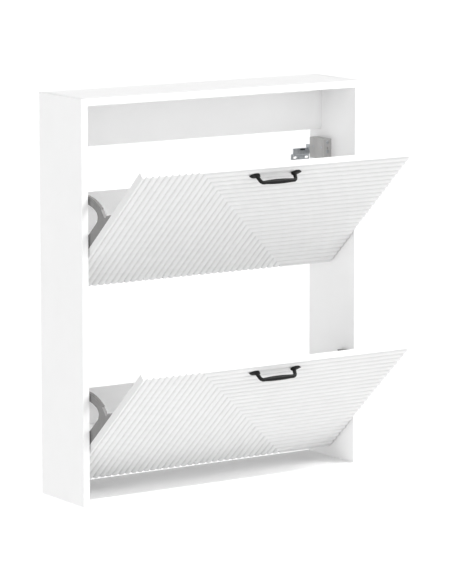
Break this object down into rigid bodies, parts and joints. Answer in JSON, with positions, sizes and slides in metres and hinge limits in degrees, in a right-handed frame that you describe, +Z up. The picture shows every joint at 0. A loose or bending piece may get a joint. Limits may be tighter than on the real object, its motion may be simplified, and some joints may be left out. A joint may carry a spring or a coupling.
{
  "type": "shoe cabinet",
  "caption": "Slim white wall-hung shoe cabinet with open back and fluted tilt-out flaps, each with a shoe pocket, flip brackets and a black bow handle.",
  "frame": {"origin": "bottom of the wall plane at the cabinet's middle: the point midway between the side panels' rear lower corners", "axes": "+X to the right seen from the front, +Y towards the wall, +Z up; the flaps open towards -Y"},
  "size_m": [0.73, 0.3884, 0.884],
  "materials": {
    "white_board": "white melamine-faced chipboard, fine satin",
    "white_fluted_front": "white lacquered fibreboard, milled flutes, satin",
    "grey_plastic": "moulded, fine satin",
    "light_grey_plastic": "moulded, satin",
    "black_plastic": "moulded, matt",
    "zinc_steel": "zinc plated, satin",
    "cast_zinc": "cast, dull",
    "black_metal": "black, satin",
    "dowel_wood": "plain beech"
  },
  "bodies": {
    "root": {"left_side_panel": "white_board", "right_side_panel": "white_board", "top_panel": "white_board", "bottom_panel": "white_board", "rear_rail": "white_board", "wood_dowels": "dowel_wood", "cam_bolts": "zinc_steel", "cam_locks": "cast_zinc", "left_hanger_housing": "light_grey_plastic", "right_hanger_housing": "light_grey_plastic", "left_hanger_hook": "zinc_steel", "right_hanger_hook": "zinc_steel", "left_adjusting_screws": "zinc_steel", "right_adjusting_screws": "zinc_steel", "left_wall_plate": "zinc_steel", "right_wall_plate": "zinc_steel", "pivot_pins": "zinc_steel", "pivot_retainers": "zinc_steel", "stop_pegs": "black_plastic"},
    "upper_flap": {"upper_flap_front": "white_fluted_front", "upper_left_bracket": "grey_plastic", "upper_right_bracket": "grey_plastic", "upper_pocket_back": "white_board", "upper_pocket_floor": "white_board", "upper_bracket_screws": "zinc_steel", "upper_pocket_screws": "zinc_steel", "upper_handle": "black_metal", "upper_handle_screws": "zinc_steel"},
    "lower_flap": {"lower_flap_front": "white_fluted_front", "lower_left_bracket": "grey_plastic", "lower_right_bracket": "grey_plastic", "lower_pocket_back": "white_board", "lower_pocket_floor": "white_board", "lower_bracket_screws": "zinc_steel", "lower_pocket_screws": "zinc_steel", "lower_handle": "black_metal", "lower_handle_screws": "zinc_steel"}
  },
  "joints": [
    {"name": "upper_flap_tilt", "type": "hinge", "parent": "root", "child": "upper_flap", "pos_m": [0, -0.152, 0.5545], "axis": [-1, 0, 0], "range_deg": [0, 48]},
    {"name": "lower_flap_tilt", "type": "hinge", "parent": "root", "child": "lower_flap", "pos_m": [0, -0.152, 0.1285], "axis": [-1, 0, 0], "range_deg": [0, 48]}
  ]
}
